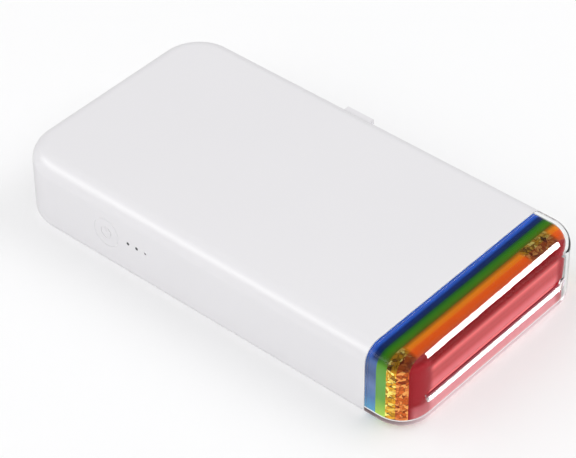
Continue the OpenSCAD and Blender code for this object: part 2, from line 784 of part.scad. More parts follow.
// Involute gear with n teeth, turned by a, centred on its axis
module gear_shape(n, a) {
    rp = tooth_m * n / 2;
    rb = rp * cos(pressure_angle);
    ra = rp + 0.8 * tooth_m;
    rr = rp - 1.05 * tooth_m;
    half = 90 / n - (play / 2 / rp) * 180 / PI;
    steps = [for (i = [0 : 3]) max(rb, rr) + (ra - max(rb, rr)) * i / 3];
    flank = [for (r = steps) half + inv(pressure_angle) - inv(acos(min(1, rb / r)))];
    foot = flank[0] * (rr < rb ? 0.8 : 1);
    polygon([for (k = [0 : n - 1]) each concat(
        [polar(rr, a + 360 * k / n - foot - 0.01)],
        [for (i = [0 : 3]) polar(steps[i], a + 360 * k / n - flank[i])],
        [for (i = [3 : -1 : 0]) polar(steps[i], a + 360 * k / n + flank[i])],
        [polar(rr, a + 360 * k / n + foot + 0.01)])]);
}

// A gear on the left side plate: its layer starts at y0 and goes outwards
module gear(x, z, n, a, y0) {
    translate([x, -y0, z]) rotate([90, 0, 0]) linear_extrude(gear_t) gear_shape(n, a);
}

// Two gears in one piece that turn on a post
module double_gear(x, z, n0, y0, n1, y1, a) {
    difference() {
        union() {
            gear(x, z, n0, a, y0);
            gear(x, z, n1, a, y1);
            rod_y(x, z, hub_r, -y1 - eps, -y0 - gear_t + eps);
            rod_y(x, z, hub_r, -y0 - eps, -plate_out - 0.1);
        }
        rod_y(x, z, small_screw_r + run, -y1 - gear_t - 1, -plate_out + 1);
    }
}

module motor() {
    color("#b9bcc2") {
        intersection() {
            rod_y(motor_x, motor_z, motor_w / 2, -plate_in, -plate_in + motor_len);
            box([motor_x - motor_w, -plate_in, motor_z - motor_h / 2],
                [motor_x + motor_w, cart_y, motor_z + motor_h / 2]);
        }
        rod_y(motor_x, motor_z, motor_nose_r, -plate_in - 0.6, -plate_in + 1);
        rod_y(motor_x, motor_z, motor_nose_r, -plate_in + motor_len - 1, -plate_in + motor_len + 0.8);
    }
}

module motor_pinion() {
    color("#d9c9a0") {
        gear(motor_x, motor_z, motor_teeth, motor_a, layer_c);
        rod_y(motor_x, motor_z, 0.75, -layer_c - eps, -plate_in - 0.7);
    }
}

module reduction_gear_1() {
    color("#e9e4d4") double_gear(red1_x, red1_z, step_teeth, layer_b, red1_teeth, layer_c, red1_a);
}

module reduction_gear_2() {
    color("#e9e4d4") double_gear(red2_x, red2_z, step_teeth, layer_a, red2_teeth, layer_b, red2_a);
}

module idler_gear() {
    color("#e9e4d4") difference() {
        union() {
            gear(idler_x, idler_z, idler_teeth, idler_ang, layer_b);
            rod_y(idler_x, idler_z, hub_r, -layer_b - eps, -plate_out - 0.1);
        }
        rod_y(idler_x, idler_z, small_screw_r + run, -layer_c - 1, -layer_a + 1);
    }
}

// Cross-shaped nose that turns the take-up spool
module drive_cross(g, y0, y1) {
    for (a = [0, 90]) translate([takeup_x, (y0 + y1) / 2, spool_z]) rotate([0, a + takeup_a, 0])
        cube([2 * (0.9 + g), y1 - y0, 2 * (0.3 + g)], center = true);
}

module takeup_drive() {
    color("#e9e4d4") {
        gear(takeup_x, spool_z, takeup_teeth, takeup_a, layer_a);
        rod_y(takeup_x, spool_z, shaft_r, -layer_a - eps, -cart_y - 0.3);
        drive_cross(0, -cart_y - 0.4, -cart_y + 2.2);
    }
}

module drive_roller() {
    color("silver") {
        rod_y(capstan_x, capstan_z, shaft_r, -layer_a - gear_t, shaft_end);
        gear(capstan_x, capstan_z, drive_teeth, 0, layer_a);
    }
}

// A rubber sleeve on a shaft
module sleeve(x, z, r, y0, y1) {
    difference() {
        rod_y(x, z, r, y0, y1);
        rod_y(x, z, shaft_r, y0 - 1, y1 + 1);
    }
}

module drive_roller_rubber() {
    color("#33343a") for (s = [0, 1]) mirror([0, s, 0]) sleeve(capstan_x, capstan_z, capstan_r,
        drive_rubber_in, roller_w / 2);
}

module pinch_roller() {
    color("#55565c") {
        rod_y(capstan_x, pinch_z, shaft_r, -plate_out - 0.1, shaft_end);
        rod_y(capstan_x, pinch_z, pinch_r, -roller_w / 2, roller_w / 2);
    }
}

module platen_roller() {
    color("silver") rod_y(head_x, platen_z, shaft_r, -plate_out - 0.1, shaft_end);
}

module platen_rubber() {
    color("#33343a") sleeve(head_x, platen_z, platen_r, -platen_w / 2, platen_w / 2);
}

module pickup_roller() {
    color("silver") {
        rod_y(pick_x, pick_z, shaft_r, -layer_b - gear_t, shaft_end);
        gear(pick_x, pick_z, pick_teeth, pick_a, layer_b);
    }
}

module pickup_rubber() {
    color("#33343a") sleeve(pick_x, pick_z, pick_r, -pick_rubber_w / 2, pick_rubber_w / 2);
}

module print_head() {
    color("#8b8f96") box([head_x - head_w / 2, -head_len / 2, head_low + heater_t],
        [head_x + head_w / 2, head_len / 2, bracket_z]);
    color("#e8e8ec") box([head_x - head_w / 2, -head_len / 2, head_low],
        [head_x + head_w / 2, head_len / 2, head_low + heater_t + eps]);
}

module head_bracket() {
    color("#9a9da4") difference() {
        union() {
            box([bracket_x0, -bracket_y, bracket_z], [bracket_x1, bracket_y, bracket_z + bracket_t]);
            for (s = [0, 1]) mirror([0, s, 0]) {
                box([capstan_x - 2, bracket_y - 1, pivot_z - 1.4], [bracket_x1, bracket_y, bracket_z + eps]);
                rod_y(pivot_x, pivot_z, small_screw_r, bracket_y - eps, plate_out + 0.3);
            }
        }
        for (x = vent_x) for (y = vent_y) rod_z(x, y, vent_r, bracket_z - 1, bracket_z + 3);
    }
}

module head_springs() {
    color("silver") for (s = [-1, 1]) difference() {
        rod_z(head_x, s * spring_y, spring_r, bracket_z + bracket_t, ceil_z);
        rod_z(head_x, s * spring_y, spring_r - spring_wall, bracket_z, ceil_z + 1);
    }
}

module cartridge() {
    color("#2f3036") difference() {
        union() {
            // Paper tray
            box([tray_x0, -cart_y, tray_z], [low_x, cart_y, tray_top]);
            box([low_x - eps, -cart_y, tray_z], [tray_x1, cart_y, low_z - 0.05]);
            // Spool housings
            for (x = [supply_x, takeup_x]) rod_y(x, spool_z, housing_r, -cart_y, cart_y);
            box([low_x - 2, -cart_y, tray_top - 1.6], [supply_x - 1, cart_y, tray_top + 1]);
            // End bridge beyond the print head
            box([supply_x, cart_y - bridge_t, spool_z - bridge_h / 3],
                [takeup_x, cart_y, spool_z + 2 * bridge_h / 3]);
        }
        box([tray_x0 + cart_wall, -cart_y + cart_wall, tray_floor],
            [low_x - cart_wall, cart_y - cart_wall, tray_top - 0.8]);
        box([tray_x0 + cart_wall, -paper_w / 2 - 1, tray_floor],
            [tray_x1 + 1, paper_w / 2 + 1, tray_floor + 2.6]);
        box([pick_x - pick_r - 0.4, -cart_y - 1, tray_z - 1],
            [pick_x + pick_r + 0.4, pick_rubber_w / 2 + opening_side, tray_floor + 1]);
        for (x = [supply_x, takeup_x])
            rod_y(x, spool_z, housing_in, -cart_y + housing_wall, cart_y - bridge_t);
        for (x = [supply_x, takeup_x]) rod_y(x, spool_z, core_r + run, -cart_y - 1, cart_y - 0.6);
        // Mouths that the ribbon passes through
        box([supply_x + 1.5, -paper_w / 2 - 2, spool_z - housing_r - 1],
            [supply_x + housing_r + 1, paper_w / 2 + 2, spool_z]);
        box([takeup_x - housing_r - 1, -paper_w / 2 - 2, spool_z - housing_r - 1],
            [takeup_x - 1.5, paper_w / 2 + 2, spool_z]);
    }
}

module paper_stack() {
    color("#f4f4f2") box([tray_x0 + cart_wall + 0.5, -paper_w / 2, tray_floor + 0.05],
        [tray_x0 + cart_wall + 0.5 + paper_len, paper_w / 2, tray_floor + 0.05 + min(paper_h, 2.4)]);
}

// The ribbon's path from the supply roll under the print head to the take-up roll
module ribbon() {
    z0 = head_low - 0.15 - ribbon_t;
    x0 = supply_x + 2.4;
    z1 = spool_z - 2.6;
    x1 = takeup_x - 1.2;
    z2 = spool_z - 2.4;
    color("#26304e", 0.8) translate([0, paper_w / 2, 0]) rotate([90, 0, 0]) linear_extrude(paper_w)
        polygon([[x0, z1], [head_x - head_w / 2 - 0.8, z0], [head_x + head_w / 2 + 0.6, z0], [x1, z2],
            [x1 - ribbon_t, z2 + ribbon_t], [head_x + head_w / 2 + 0.5, z0 + ribbon_t],
            [head_x - head_w / 2 - 0.7, z0 + ribbon_t], [x0 + ribbon_t, z1 + ribbon_t]]);
}

module supply_spool() {
    color("#d8d8dc") rod_y(supply_x, spool_z, core_r, -cart_y + 0.1, cart_y - 0.8);
}

module takeup_spool() {
    color("#d8d8dc") difference() {
        rod_y(takeup_x, spool_z, core_r, -cart_y + 0.1, cart_y - 0.8);
        drive_cross(0.08, -cart_y - 1, -cart_y + 2.5);
    }
}

module supply_ribbon_roll() {
    color("#26304e") difference() {
        rod_y(supply_x, spool_z, wound_r, -paper_w / 2, paper_w / 2);
        rod_y(supply_x, spool_z, core_r, -cart_w, cart_w);
    }
}

module takeup_ribbon_roll() {
    color("#26304e") difference() {
        rod_y(takeup_x, spool_z, core_r + 0.3, -paper_w / 2, paper_w / 2);
        rod_y(takeup_x, spool_z, core_r, -cart_w, cart_w);
    }
}

module main_board() {
    color("#1f6b45") difference() {
        union() {
            box([board_x0, board_y0, board_z], [board_x1, board_y1, board_top]);
            box([x_in + 0.6, usb_y - usb_w / 2 - 3, board_z],
                [board_x0 + eps, usb_y + usb_w / 2 + 3, board_top]);
        }
        for (p = board_screws) rod_z(p[0], p[1], small_screw_r + fit, 0, z_top);
    }
}

module board_chips() {
    color("#222226") {
        for (c = chips) box([board_x1 - chip_in - c[0], c[2] - c[1] / 2, board_top],
            [board_x1 - chip_in, c[2] + c[1] / 2, board_top + chip_t]);
        for (i = [0 : 5]) translate([board_x0 + row_chip_x + row_pitch * i, board_y0 + row_chip_y, board_top])
            cube([row_chip_w, row_chip_l, chip_t]);
    }
}

module usb_socket() {
    color("silver") difference() {
        box([x_in - 0.6, usb_y - usb_w / 2, board_top],
            [x_in + usb_len, usb_y + usb_w / 2, board_top + usb_h]);
        difference() {
            box([x_in - 1, usb_y - usb_w / 2 + usb_wall, board_top + usb_wall],
                [x_in + usb_len - 2 * usb_wall, usb_y + usb_w / 2 - usb_wall, board_top + usb_h - usb_wall]);
            box([x_in + usb_wall, usb_y - usb_w / 2 + 4 * usb_wall, board_top + usb_h / 2],
                [x_in + usb_len, usb_y + usb_w / 2 - 4 * usb_wall, board_top + usb_h / 2 + 1.5 * usb_wall]);
        }
    }
}

module power_switch() {
    color("#222226") {
        box([button_x - 2.2, board_y0 + 0.2, board_top], [button_x + 2.2, board_y0 + 3.6, board_top + 1.8]);
        rod_y(button_x, switch_z, plunger_r - 0.2, board_y0 - 0.4, board_y0 + 0.3);
    }
}

module reset_switch() {
    color("#222226") {
        box([reset_x - 1.8, board_y0 + 0.6, board_z - 2.2], [reset_x + 1.8, board_y0 + 3.4, board_z]);
        rod_y(reset_x, light_z, 0.5, board_y0, board_y0 + 0.7);
    }
}

module light_chips() {
    color("white") for (i = [0, 1])
        box([light_x + i * light_pitch - 0.8, board_y0 + 0.1, light_z - 0.7],
            [light_x + i * light_pitch + 0.8, board_y0 + 1.1, board_z]);
}

module battery() {
    color("#9ea3ab") box([battery_x0, battery_y0, battery_z1 - battery_t],
        [battery_x1, battery_y0 + battery_w, battery_z1]);
}

module battery_pad() {
    color("#55565c") box([battery_x0 + 3, battery_y0 + 3, battery_z1],
        [battery_x1 - 3, battery_y0 + battery_w - 3, ceil_z]);
}

module battery_lead() {
    color("#b02020") {
        box([battery_x1, lead_y, battery_z1 - 2 * lead_t], [lead_x, lead_y + lead_w, battery_z1 - lead_t]);
        box([lead_x - lead_t, lead_y, board_top], [lead_x, lead_y + lead_w, battery_z1 - lead_t]);
    }
}

module board_screws() {
    color("silver") for (p = board_screws) {
        rod_z(p[0], p[1], small_screw_r, board_z - 0.4, board_top + 3.8);
        rod_z(p[0], p[1], small_screw_r + screw_rim, board_z - 0.7, board_z);
    }
}

top_case();
bottom_case();
cartridge_door();
hinge_pins();
end_cap();
blue_band();
green_band();
yellow_band();
orange_band();
red_band();
cap_screws();
exit_guide();
power_button();
light_pipes();
rubber_feet();
case_screws();
label_plate();
chassis();
left_side_plate();
right_side_plate();
plate_screws();
gear_posts();
motor();
motor_pinion();
reduction_gear_1();
reduction_gear_2();
idler_gear();
takeup_drive();
drive_roller();
drive_roller_rubber();
pinch_roller();
platen_roller();
platen_rubber();
pickup_roller();
pickup_rubber();
print_head();
head_bracket();
head_springs();
cartridge();
paper_stack();
ribbon();
supply_spool();
takeup_spool();
supply_ribbon_roll();
takeup_ribbon_roll();
main_board();
board_chips();
usb_socket();
power_switch();
reset_switch();
light_chips();
battery();
battery_pad();
battery_lead();
board_screws();
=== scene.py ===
import math
import bmesh
import bpy
from mathutils import Matrix, Vector


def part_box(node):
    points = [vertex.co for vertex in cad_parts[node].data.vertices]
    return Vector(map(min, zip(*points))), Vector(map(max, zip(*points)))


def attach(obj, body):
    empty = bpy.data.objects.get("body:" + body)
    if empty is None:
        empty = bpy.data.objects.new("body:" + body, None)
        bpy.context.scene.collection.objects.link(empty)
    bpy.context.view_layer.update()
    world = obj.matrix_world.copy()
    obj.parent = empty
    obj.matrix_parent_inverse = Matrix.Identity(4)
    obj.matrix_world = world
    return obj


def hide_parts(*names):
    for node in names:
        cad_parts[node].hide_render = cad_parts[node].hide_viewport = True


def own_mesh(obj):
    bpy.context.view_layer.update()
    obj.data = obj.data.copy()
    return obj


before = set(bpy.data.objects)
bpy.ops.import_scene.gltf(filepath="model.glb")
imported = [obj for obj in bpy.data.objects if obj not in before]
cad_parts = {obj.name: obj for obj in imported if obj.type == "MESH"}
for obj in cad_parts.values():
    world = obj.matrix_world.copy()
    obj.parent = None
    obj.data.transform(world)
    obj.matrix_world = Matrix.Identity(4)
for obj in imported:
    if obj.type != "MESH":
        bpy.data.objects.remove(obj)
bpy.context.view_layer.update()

# The camera stands where the photographer's did, above the near long side and the
# print end. Its angles, target and distance are a fit to the casing's outline.
scene = bpy.context.scene
scene.view_settings.view_transform = "Standard"

azimuth, elevation, roll = math.radians(41.156), math.radians(40.426), math.radians(-0.386)
target, distance = Vector((0.003365, -0.006237, 0.014266)), 0.74887
towards = Vector((math.sin(azimuth) * math.cos(elevation), -math.cos(azimuth) * math.cos(elevation),
                  math.sin(elevation)))
right = Vector((math.cos(azimuth), math.sin(azimuth), 0))
up = towards.cross(right)
level_right = right * math.cos(roll) + up * math.sin(roll)
level_up = up * math.cos(roll) - right * math.sin(roll)
seat = Matrix((level_right, level_up, towards)).transposed().to_4x4()
seat.translation = target + towards * distance
lens = bpy.data.cameras.new("camera")
lens.lens = 161.70
lens.sensor_width = 36
lens.clip_start = 0.01
camera = bpy.data.objects.new("camera", lens)
camera.matrix_world = seat
scene.collection.objects.link(camera)
scene.camera = camera


# The studio lamps: a soft one high behind the far corner, a wide one over the near
# long side, and a narrow one that draws the bright line along the near top edge.
def lamp(name, place, aim, wide, high, power, fills=True):
    """A rectangular lamp. One that doesn't fill shows only as a highlight on gloss."""
    light = bpy.data.lights.new(name, "AREA")
    light.shape = "RECTANGLE"
    light.size, light.size_y, light.energy = wide, high, power
    made = bpy.data.objects.new(name, light)
    made.location = place
    made.visible_diffuse, made.visible_transmission = fills, False
    made.rotation_euler = (Vector(aim) - Vector(place)).to_track_quat("-Z", "Y").to_euler()
    scene.collection.objects.link(made)
    return made


casing_middle = (0, 0, 0.02)
lamp("edge_lamp", (-0.5, -0.62, 0.57), casing_middle, wide=1.2, high=0.25, power=2.6, fills=False)
key_lamp = lamp("key_lamp", (0.55, 0.6, 0.9), (0, 0, 0), wide=0.8, high=0.8, power=4.0)
key_lamp.visible_glossy = False
lamp("side_lamp", (-0.5, -0.75, 0.62), casing_middle, wide=1.6, high=0.8, power=4.2)

# The long lamp behind the print end, which the cap mirrors as a bright line. Seven
# bars stand side by side, each a little further along the tilt and shorter than the
# last, so that the line keeps its width up to the far corner.
bars, bar_wide, bar_pitch, bar_high, bar_shrink, bar_power = 7, 0.0292, 0.029, 0.47, 0.009, 0.85
tilt, bar_start, bar_shift = Vector((-0.693, 0, 0.721)), -0.08, 0.0238
along = Vector((0, 1, 0))
facing = Matrix((along, tilt, along.cross(tilt))).transposed().to_euler()
for bar in range(bars):
    place = Vector((0.60, 0.501 + bar_pitch * bar, 0.527)) + tilt * (bar_shift * bar + bar_start)
    strip = lamp("strip_lamp_%d" % bar, place, (0, 0, 0), wide=bar_wide,
                 high=bar_high - bar_shrink * bar, power=bar_power, fills=False)
    strip.rotation_euler = facing


# The white sky round the studio. It is full white where the camera sees it, and
# dimmer as a light, behind the clear cap and in mirroring surfaces.
class Shade:
    """A socket in a node tree, with arithmetic."""

    def __init__(self, tree, socket):
        self.tree, self.socket = tree, socket

    def node(self, kind, settings=None, out=0, **values):
        """A new node: its settings first, then the values or links of its sockets."""
        made = self.tree.nodes.new(kind)
        for key, value in (settings or {}).items():
            if key == "stops":
                stops = made.color_ramp.elements
                while len(stops) < len(value):
                    stops.new(0.5)
                for stop, (share, colour) in zip(stops, value):
                    stop.position, stop.color = share, (*colour, 1)
            else:
                setattr(made, key, value)
        for key, value in values.items():
            name = key.replace("_", " ")
            into = made.inputs[int(key[1:])] if key[1:].isdigit() else made.inputs[name]
            if isinstance(value, Shade):
                self.tree.links.new(value.socket, into)
            else:
                into.default_value = value
        return Shade(self.tree, made.outputs[out])

    def maths(self, operation, *terms):
        """A sum or the like, with this as its first term."""
        return self.node("ShaderNodeMath", {"operation": operation},
                         **{"_%d" % i: term for i, term in enumerate((self, *terms))})

    def __add__(self, other):
        return self.maths("ADD", other)

    def __sub__(self, other):
        return self.maths("SUBTRACT", other)

    def __rsub__(self, other):
        return self * -1 + other

    def __mul__(self, other):
        return self.maths("MULTIPLY", other)

    def __gt__(self, other):
        return self.maths("GREATER_THAN", other)

    __radd__, __rmul__ = __add__, __mul__

    def vector(self, operation, *terms, out=0, **values):
        """The same for three numbers at once, such as those of a place or a colour."""
        return self.node("ShaderNodeVectorMath", {"operation": operation}, out,
                         **{"_%d" % i: term for i, term in enumerate((self, *terms))}, **values)

    def between(self, low, high):
        """0 below low, 1 above high, smooth between."""
        return self.node("ShaderNodeMapRange", {"interpolation_type": "SMOOTHSTEP"}, Value=self,
                         From_Min=low, From_Max=high)

    def above(self, limit, soft):
        """0 below a limit and 1 above it, over the soft width to either side."""
        return self.between(limit - soft, limit + soft)

    def below(self, limit, soft):
        """1 below a limit and 0 above it, over the soft width to either side."""
        return self.between(limit + soft, limit - soft)

    def mix(self, a, b):
        """Colour a where this is 0 and b where it is 1."""
        made = self.tree.nodes.new("ShaderNodeMix")
        made.data_type = "RGBA"
        self.tree.links.new(self.socket, made.inputs[0])
        for into, colour in ((made.inputs[6], a), (made.inputs[7], b)):
            if isinstance(colour, Shade):
                self.tree.links.new(colour.socket, into)
            else:
                into.default_value = (*colour, 1)
        return Shade(self.tree, made.outputs[2])

    def noise(self, scale, detail=3.0):
        """Noise at this place."""
        return self.node("ShaderNodeTexNoise", Vector=self, Scale=scale, Detail=detail, Roughness=0.5)

    def axes(self):
        """X, Y and Z of this place."""
        apart = self.node("ShaderNodeSeparateXYZ", Vector=self).socket.node
        return [Shade(self.tree, out) for out in apart.outputs]


def ray(tree, kind):
    """An output of the light path, such as 1 for the rays of one kind."""
    return Shade(tree, tree.nodes.new("ShaderNodeLightPath").outputs[kind])


lit, seen_white, behind_cap, in_mirror = 0.74, 1.0, 0.44, 0.14
sky = bpy.data.worlds.new("white_sky")
sky.use_nodes = True
scene.world = sky
back = sky.node_tree.nodes["Background"]
back.inputs["Color"].default_value = (1, 1, 1, 1)
seen = ray(sky.node_tree, "Is Camera Ray")
through = ray(sky.node_tree, "Is Transmission Ray")
mirrored = ray(sky.node_tree, "Is Glossy Ray") * (1 - through)
level = (lit - through * (lit - behind_cap) + seen * (seen_white - lit)
         - mirrored * (lit - in_mirror))
sky.node_tree.links.new(level.socket, back.inputs["Strength"])


# The table: a wide matt white board. Part of its white is a glow that depends on the
# ray, so that the clear cap shows it bright. The glow is dimmed just in front of the
# cap for rays turned inside the cap, which would veil the red slab.
def finish_of(name, **plain):
    """A material with a Principled shader whose plain values are set on its sockets."""
    made = bpy.data.materials.new(name)
    made.use_nodes = True
    tree = made.node_tree
    shader = tree.nodes["Principled BSDF"]
    for key, value in plain.items():
        shader.inputs[key.replace("_", " ")].default_value = value
    place = Shade(tree, tree.nodes.new("ShaderNodeTexCoord").outputs["Object"])
    return made, shader, place


def feed(shader, name, shade):
    shade.tree.links.new(shade.socket, shader.inputs[name])


def blend_surface(tree, share, first, second):
    """Show the first shader where share is 0 and the second where it is 1."""
    choose = tree.nodes.new("ShaderNodeMixShader")
    tree.links.new(share.socket, choose.inputs[0])
    tree.links.new(first.outputs[0], choose.inputs[1])
    tree.links.new(second.outputs[0], choose.inputs[2])
    tree.links.new(choose.outputs[0], tree.nodes["Material Output"].inputs["Surface"])


table_half = 4
seen_glow, behind_glow, mirror_glow, dimming = 0.15, 0.8, 0.7, 0.75
veil_start, veil_end, veil_side = 0.074, 0.125, 0.058
shape = bmesh.new()
bmesh.ops.create_grid(shape, x_segments=1, y_segments=1, size=table_half)
floor_mesh = bpy.data.meshes.new("table")
shape.to_mesh(floor_mesh)
shape.free()
floor = bpy.data.objects.new("table", floor_mesh)
scene.collection.objects.link(floor)
paint, shader, place = finish_of("table_white", Specular_IOR_Level=0.0,
                                 Base_Color=(0.93, 0.93, 0.935, 1))
feed(shader, "Roughness", place.noise(9.0) * 0.1 + 0.5)
tree = paint.node_tree
seen, through = ray(tree, "Is Camera Ray"), ray(tree, "Is Transmission Ray")
mirrored = ray(tree, "Is Glossy Ray") * (1 - through)
x, y, z = place.axes()
before_cap = x.above(veil_start, 0.002) * x.below(veil_end, 0.015) * y.below(veil_side, 0.008)
turned = through * (ray(tree, "Glossy Depth") > 0.5) * before_cap
glow = tree.nodes.new("ShaderNodeEmission")
tree.links.new((1 - mirrored * dimming - turned * dimming).socket, glow.inputs["Color"])
blend_surface(tree, seen * seen_glow + through * behind_glow + mirrored * mirror_glow, shader, glow)
floor_mesh.materials.append(paint)


# The casing: a deep top moulding over a shallow base, with the door and the button
# let into its sides. All are moulded in glossy white plastic with a very fine ripple.
# A painted glow lights the gap round the button and the sole's rounding, which would be in shade.
def emboss(shader, height, strength, depth):
    """Raise the surface by height through a Bump node."""
    feed(shader, "Normal", height.node("ShaderNodeBump", Height=height, Strength=strength,
                                       Distance=depth))


def dress(material, *nodes):
    """Give a material to CAD nodes as they are."""
    for name in nodes:
        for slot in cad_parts[name].material_slots:
            slot.material = material


dim_white, full_white = (0.80, 0.79, 0.81), (0.815, 0.805, 0.825)
painted_fill_glow, sole_glow_share = (0.3, 0.3, 0.3), 0.8
gap_radius, gap_y, sole_top = 0.00525, -0.0397, 0.00155
low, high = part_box("power_button")
paint, shader, place = finish_of("gloss_white", IOR=1.5, Coat_Weight=0.1, Coat_Roughness=0.2)
feed(shader, "Base Color", place.noise(14.0, 2.0).between(0.2, 0.8).mix(dim_white, full_white))
feed(shader, "Roughness", place.noise(60.0) * 0.08 + 0.28)
emboss(shader, place.noise(900.0, 2.0), 0.05, 0.0001)
x, y, z = place.axes()
button_middle = ((low.x + high.x) / 2, low.y, (low.z + high.z) / 2)
from_button = place.vector("DISTANCE", button_middle, out=1)
gap = from_button.below(gap_radius, 0.00005) * y.above(gap_y, 0.0001)
sole = z.below(sole_top, 0.00065)
# A painted glow in the gap round the button and on the sole's rounding, in place of their shade.
feed(shader, "Emission Color", (gap + sole * sole_glow_share).mix((0, 0, 0), painted_fill_glow))
shader.inputs["Emission Strength"].default_value = 1.0
dress(paint, "top_case", "bottom_case", "cartridge_door", "power_button")

# The clear cap: one thick shell, moulded in acrylic and polished, that closes over the
# coloured bands. Its foot carries a painted glow in place of the dark it would show, its
# brow and the slot's lip mirror the long lamp, and the back of the slot's bevelled mouth
# has a thin red liner.
painted_foot_glow, liner_red = (0.13, 0.095, 0.10), (0.25, 0.012, 0.020)
slot_floor, lip_z, liner_z, liner_x = 0.0090, 0.00775, 0.0085, 0.0742
lip_half, liner_half = 0.0322, 0.0309
foot_top, foot_start, brow_z, brow_x = 0.0028, -0.030, 0.0223, 0.0714
paint, shader, place = finish_of("clear_acrylic", IOR=1.25, Transmission_Weight=1.0,
                                 Coat_IOR=1.6, Coat_Roughness=0.03)
x, y, z = place.axes()
side = y.maths("ABSOLUTE")
foot = z.below(foot_top, 0.0004) * y.above(foot_start, 0.004)
brow = z.above(brow_z, 0.0003) * x.above(brow_x, 0.0004)
inner_mouth = x.below(liner_x, 0.0001) * z.above(liner_z, 0.0001) * z.below(slot_floor, 0.0001)
liner = inner_mouth * side.below(liner_half, 0.0003)
lip = (z.above(lip_z, 0.00005) * z.below(slot_floor, 0.0001) * side.below(lip_half, 0.0002)
       * (1 - liner))
feed(shader, "Base Color", liner.mix((0.97, 0.98, 0.98), liner_red))
feed(shader, "Roughness", liner * 0.5 + 0.02)
feed(shader, "Coat Weight", brow + lip * 0.45)
# A painted glow on the foot, which would otherwise show dark through the shadowed table beneath.
feed(shader, "Emission Color", foot.mix((0, 0, 0), painted_foot_glow))
shader.inputs["Emission Strength"].default_value = 1.0
tree = paint.node_tree
clear = tree.nodes.new("ShaderNodeBsdfTransparent")
clear.inputs["Color"].default_value = (0.95, 0.95, 0.95, 1)
blend_surface(tree, ray(tree, "Is Shadow Ray"), shader, clear)
dress(paint, "end_cap")


# The blue, green, yellow and orange bands: tinted plastic slabs, held one before the
# other by two screws from the end wall. The yellow and the orange one are backed with
# foil that crinkles at the near end and close to the far end. Their colours are painted
# light: each slab glows with its own colour, and the blue and green sides lighten towards
# the bottom as if lit from the table below.
def foil(place, dark, middle, bright):
    """Crumpled foil: small facets in painted dark and glinting reflections, with creases painted dark
    as shade.
    """
    facets_per_metre, crease_width, bend = 900.0, 0.04, (0.0035, 0.0035, 0.0015)
    bent = place.noise(500.0, 2.0).vector("MULTIPLY_ADD", bend, place)
    facets = place.node("ShaderNodeTexVoronoi", out=1, Vector=bent, Scale=facets_per_metre)
    height = facets.axes()[0]
    creases = place.node("ShaderNodeTexVoronoi", {"feature": "DISTANCE_TO_EDGE"}, Vector=bent,
                         Scale=facets_per_metre)
    stops = ((0.0, dark), (0.25, middle), (0.6, middle), (0.85, bright))
    tone = height.node("ShaderNodeValToRGB", {"stops": stops}, Fac=height)
    return (creases > crease_width).mix(dark, tone), height


def ramp(value, low, high, stops):
    """Colours along a coordinate, from low to high in metres."""
    share = value.node("ShaderNodeMapRange", Value=value, From_Min=low, From_Max=high)
    return share.node("ShaderNodeValToRGB", {"stops": stops}, Fac=share)


def even(tones):
    """Ramp stops that are evenly spaced."""
    return [(i / (len(tones) - 1), tone) for i, tone in enumerate(tones)]


def band(node, across, upwards, foiled=None):
    """A tinted slab with painted light: colours across its width on top, up its height at the sides,
    and a glow of the same colours.
    """
    low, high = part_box(node)
    side_low, side_high, top_from, top_to = 0.003, 0.021, 0.0205, 0.0222
    paint, shader, place = finish_of(node + "_tint", Roughness=0.5, Specular_IOR_Level=0.0)
    x, y, z = place.axes()
    top = ramp(x, low.x, high.x, even(across))
    # The side colours carry painted light, lighter towards the bottom on the blue and green bands.
    sides = ramp(z, side_low, side_high, even(upwards))
    colour = z.between(top_from, top_to).mix(sides, top)
    if foiled:
        painted_glints, folds = foil(place, *foiled)
        near_foil, far_foil, far_foil_end, soft = -0.032, 0.0195, 0.0315, 0.001
        ends = y.below(near_foil, soft) + y.above(far_foil, soft) * y.below(far_foil_end, soft)
        # Painted shade: the foil's painted glints dim on the far half and on the top.
        painted_shade_far_and_top = y.above(0.005, 0.005).maths("MAXIMUM", z.above(top_from, 0.001))
        colour = ends.mix(colour, painted_glints.vector("SCALE", Scale=painted_shade_far_and_top * -0.7 + 1))
        emboss(shader, folds * ends, 0.5, 0.0006)
    else:
        colour = colour.vector("SCALE", Scale=place.noise(150.0, 2.0) * 0.3 + 0.85)
    feed(shader, "Base Color", colour)
    # A painted glow: the slab emits its own colour, as if lit through.
    feed(shader, "Emission Color", colour)
    shader.inputs["Emission Strength"].default_value = 0.75
    dress(paint, node)


band("blue_band",
     across=((0.03, 0.085, 0.38), (0.009, 0.052, 0.29), (0.001, 0.011, 0.085),
             (0.001, 0.011, 0.065), (0.001, 0.012, 0.036)),
     upwards=((0.08, 0.28, 0.46), (0.065, 0.15, 0.33), (0.11, 0.17, 0.35), (0.045, 0.08, 0.20),
              (0.06, 0.11, 0.28)))
band("green_band",
     across=((0.003, 0.042, 0.014), (0.015, 0.105, 0.002), (0.027, 0.107, 0.001),
             (0.055, 0.060, 0.001)),
     upwards=((0.32, 0.50, 0.07), (0.11, 0.28, 0.04), (0.10, 0.28, 0.05), (0.08, 0.23, 0.02)))
band("yellow_band",
     across=((0.12, 0.045, 0.001), (0.44, 0.125, 0.002), (0.48, 0.100, 0.001)),
     upwards=((0.60, 0.34, 0.02), (0.65, 0.36, 0.04)),
     foiled=((0.07, 0.022, 0.001), (0.62, 0.29, 0.010), (0.95, 0.76, 0.17)))
band("orange_band",
     across=((0.47, 0.064, 0.002), (0.43, 0.052, 0.003), (0.35, 0.048, 0.006)),
     upwards=((0.52, 0.09, 0.02), (0.60, 0.12, 0.03)),
     foiled=((0.15, 0.016, 0.002), (0.50, 0.095, 0.014), (0.78, 0.32, 0.08)))
